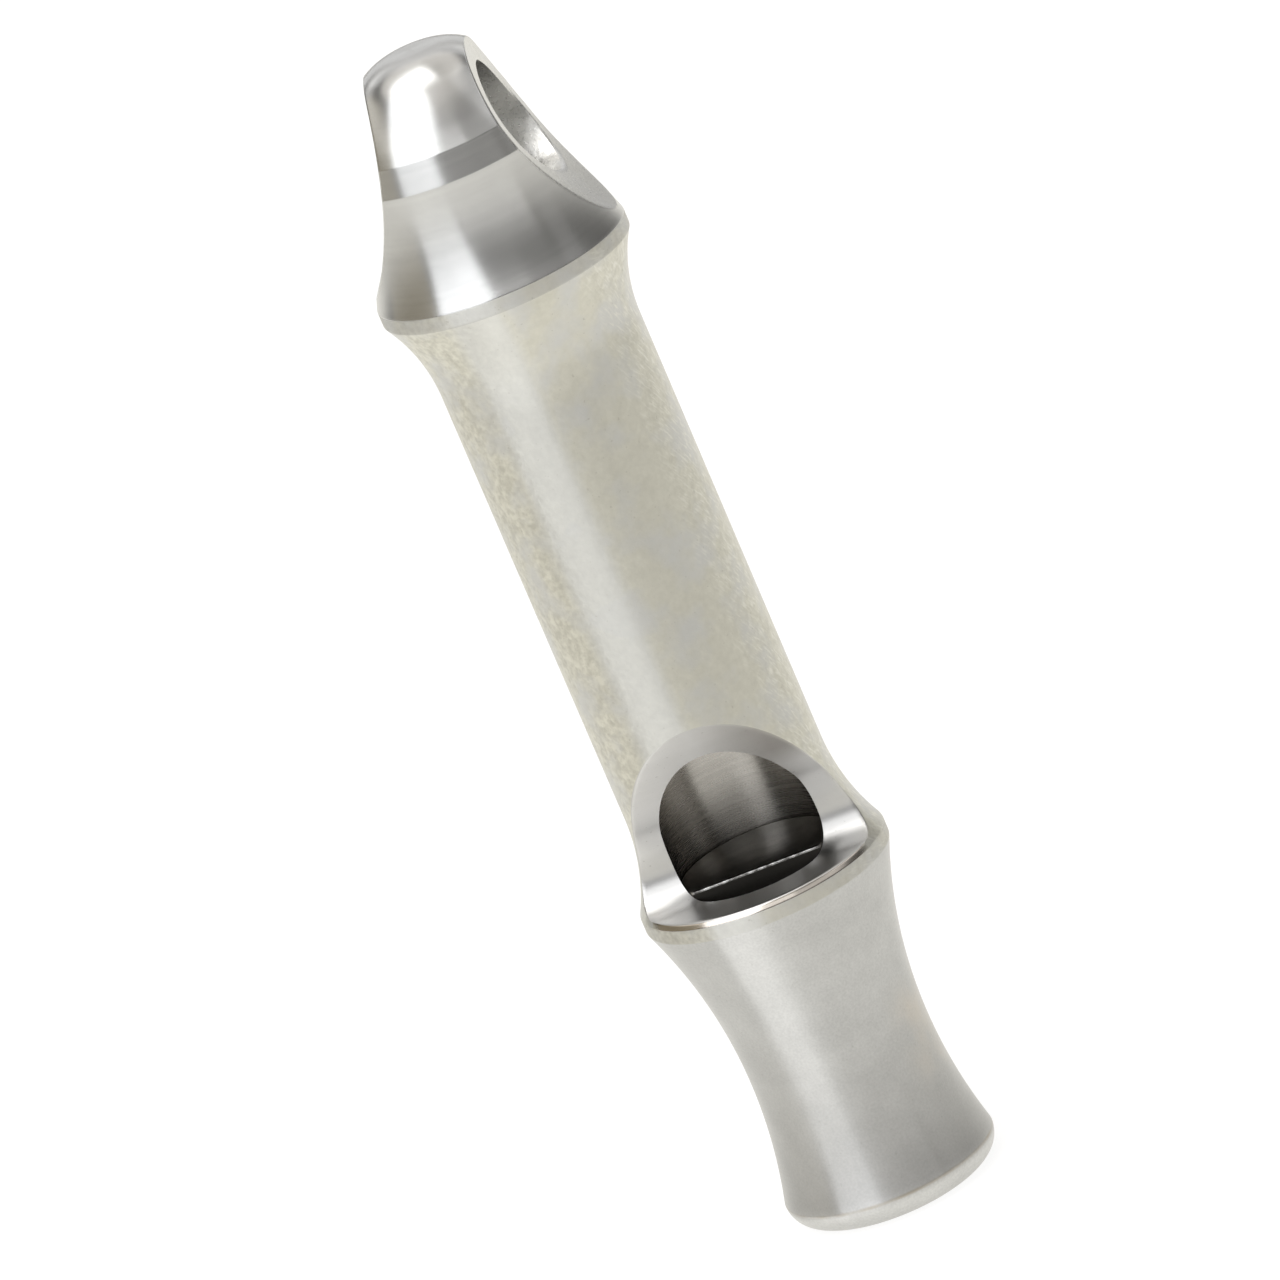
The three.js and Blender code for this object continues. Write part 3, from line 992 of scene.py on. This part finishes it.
# studio, in metres: a pale floor, graded surroundings and soft panels on all sides, with the key at the left
studio = {
    "floorSize": 3.0, "floorCells": 4, "floorDrop": 0.00002, "floorRough": 0.9,
    "floorGlow": 0.78, "seenGlow": 0.86,
    "floorTint": (1.0, 0.985, 0.925), "floorColour": (0.22, 0.217, 0.208),
    "worldSteps": [  # from the horizon to straight up
        (0.0, (0.40, 0.395, 0.38)), (0.066, (0.24, 0.237, 0.229)), (0.122, (0.11, 0.108, 0.104)),
        (0.216, (0.085, 0.083, 0.08)), (0.38, (0.13, 0.128, 0.122)), (0.44, (0.80, 0.795, 0.78)),
        (0.53, (0.80, 0.795, 0.78)), (0.585, (0.42, 0.417, 0.41)), (0.64, (0.15, 0.149, 0.145)),
        (0.72, (0.15, 0.149, 0.145)), (0.775, (0.98, 0.95, 0.90)), (0.89, (0.92, 0.89, 0.84)),
        (0.95, (0.72, 0.70, 0.66)), (1.0, (0.55, 0.53, 0.49)),
    ],
    "softboxes": [  # name, azimuth, elevation, width, height, glow and tint
        ("leftSoftbox", -37, 38, 0.40, 0.42, 1.33, (0.98, 1.0, 1.03)),
        ("leftCard", -37, 6, 0.33, 0.11, 0.70, (0.98, 1.0, 1.03)),
        ("leftWall", -92, 20, 0.42, 0.30, 0.17, (1.0, 0.86, 0.55)),
        ("topPanel", -60, 80, 0.30, 0.30, 1.7, (1, 1, 1)),
        ("frontCard", 9, 33, 0.24, 0.07, 0.72, (1, 1, 1)),
        ("frontHorizon", 22, 0.8, 0.55, 0.065, 0.44, (1, 1, 1)),
        ("rightFill", 85, 42, 0.26, 0.22, 0.3, (1, 1, 1)),
        ("rightStrip", 74, 16, 0.14, 0.20, 0.08, (1, 1, 1)),
        ("backHigh", 180, 44, 0.60, 0.13, 0.5, (1, 1, 1)),
        ("backLow", 180, 15, 0.60, 0.14, 0.6, (1, 1, 1)),
    ],
    "floorCard": {"azimuth": -37, "out": 0.018, "up": 0.0002, "width": 0.012, "length": 0.026, "glow": 0.34},
    "reach": 0.42, "aim": 0.042, "power": 4,
}


def addPanel(name, width, height, glow, tint):
    data = bpy.data.lights.new(name, "AREA")
    data.shape = "RECTANGLE"
    data.size = width
    data.size_y = height
    data.energy = studio["power"] * width * height * glow
    data.color = tint
    lamp = bpy.data.objects.new(name, data)
    scene.collection.objects.link(lamp)
    return lamp


def addSoftbox(name, azimuth, elevation, width, height, glow, tint):
    back = directionTo(azimuth, elevation)
    lamp = addPanel(name, width, height, glow, tint)
    lamp.location = Vector((0, 0, studio["aim"])) + back * studio["reach"]
    lamp.rotation_euler = (-back).to_track_quat("-Z", "Y").to_euler()


# a small white card on the floor that lights the mouth end from below
def addFloorCard(card):
    azimuth = math.radians(card["azimuth"])
    lamp = addPanel("floorCard", card["width"], card["length"], card["glow"], (1, 1, 1))
    lamp.location = Vector(ringPoint(card["out"], azimuth, card["up"]))
    lamp.rotation_euler = (math.pi, 0, azimuth)


def addFloor():
    build = bmesh.new()
    cells = studio["floorCells"]
    bmesh.ops.create_grid(build, x_segments=cells, y_segments=cells, size=studio["floorSize"] / 2)
    data = bpy.data.meshes.new("floor")
    build.to_mesh(data)
    build.free()
    floor = bpy.data.objects.new("floor", data)
    floor.location.z = -studio["floorDrop"]
    scene.collection.objects.link(floor)
    data.materials.append(floorFinish())


# glows white where it is seen, and a little warmer and dimmer where the metal mirrors it
def floorFinish():
    material = bpy.data.materials.new("paleFloor")
    material.use_nodes = True
    tree = material.node_tree
    shader = tree.nodes["Principled BSDF"]
    shader.inputs["Base Color"].default_value = opaque(studio["floorColour"])
    shader.inputs["Roughness"].default_value = studio["floorRough"]
    shader.inputs["Specular IOR Level"].default_value = 0.0
    rays = placeNode(tree, "ShaderNodeLightPath").outputs
    tint = blendColours(tree, rays["Is Camera Ray"], studio["floorTint"], (1, 1, 1))
    mirrored = largest(tree, rays["Is Glossy Ray"], rays["Is Transmission Ray"])
    glow = largest(tree, multiply(tree, mirrored, studio["floorGlow"]),
                   multiply(tree, rays["Is Camera Ray"], studio["seenGlow"]))
    feed(tree, shader, Emission_Color=tint, Emission_Strength=glow)
    return material


def addWorld():
    world = bpy.data.worlds.new("studioWorld")
    scene.world = world
    world.use_nodes = True
    tree = world.node_tree
    place = placeNode(tree, "ShaderNodeTexCoord").outputs["Generated"]
    ramp = placeNode(tree, "ShaderNodeValToRGB", {"Fac": axisParts(tree, place)["Z"]})
    stops = ramp.color_ramp.elements
    for where, colour in studio["worldSteps"][1:-1]:
        stops.new(where).color = opaque(colour)
    stops[0].color = opaque(studio["worldSteps"][0][1])
    stops[-1].color = opaque(studio["worldSteps"][-1][1])
    tree.links.new(ramp.outputs["Color"], tree.nodes["Background"].inputs["Color"])


addFloor()
addWorld()
for softbox in studio["softboxes"]:
    addSoftbox(*softbox)
addFloorCard(studio["floorCard"])
print("studio lit by", len(studio["softboxes"]), "panels")
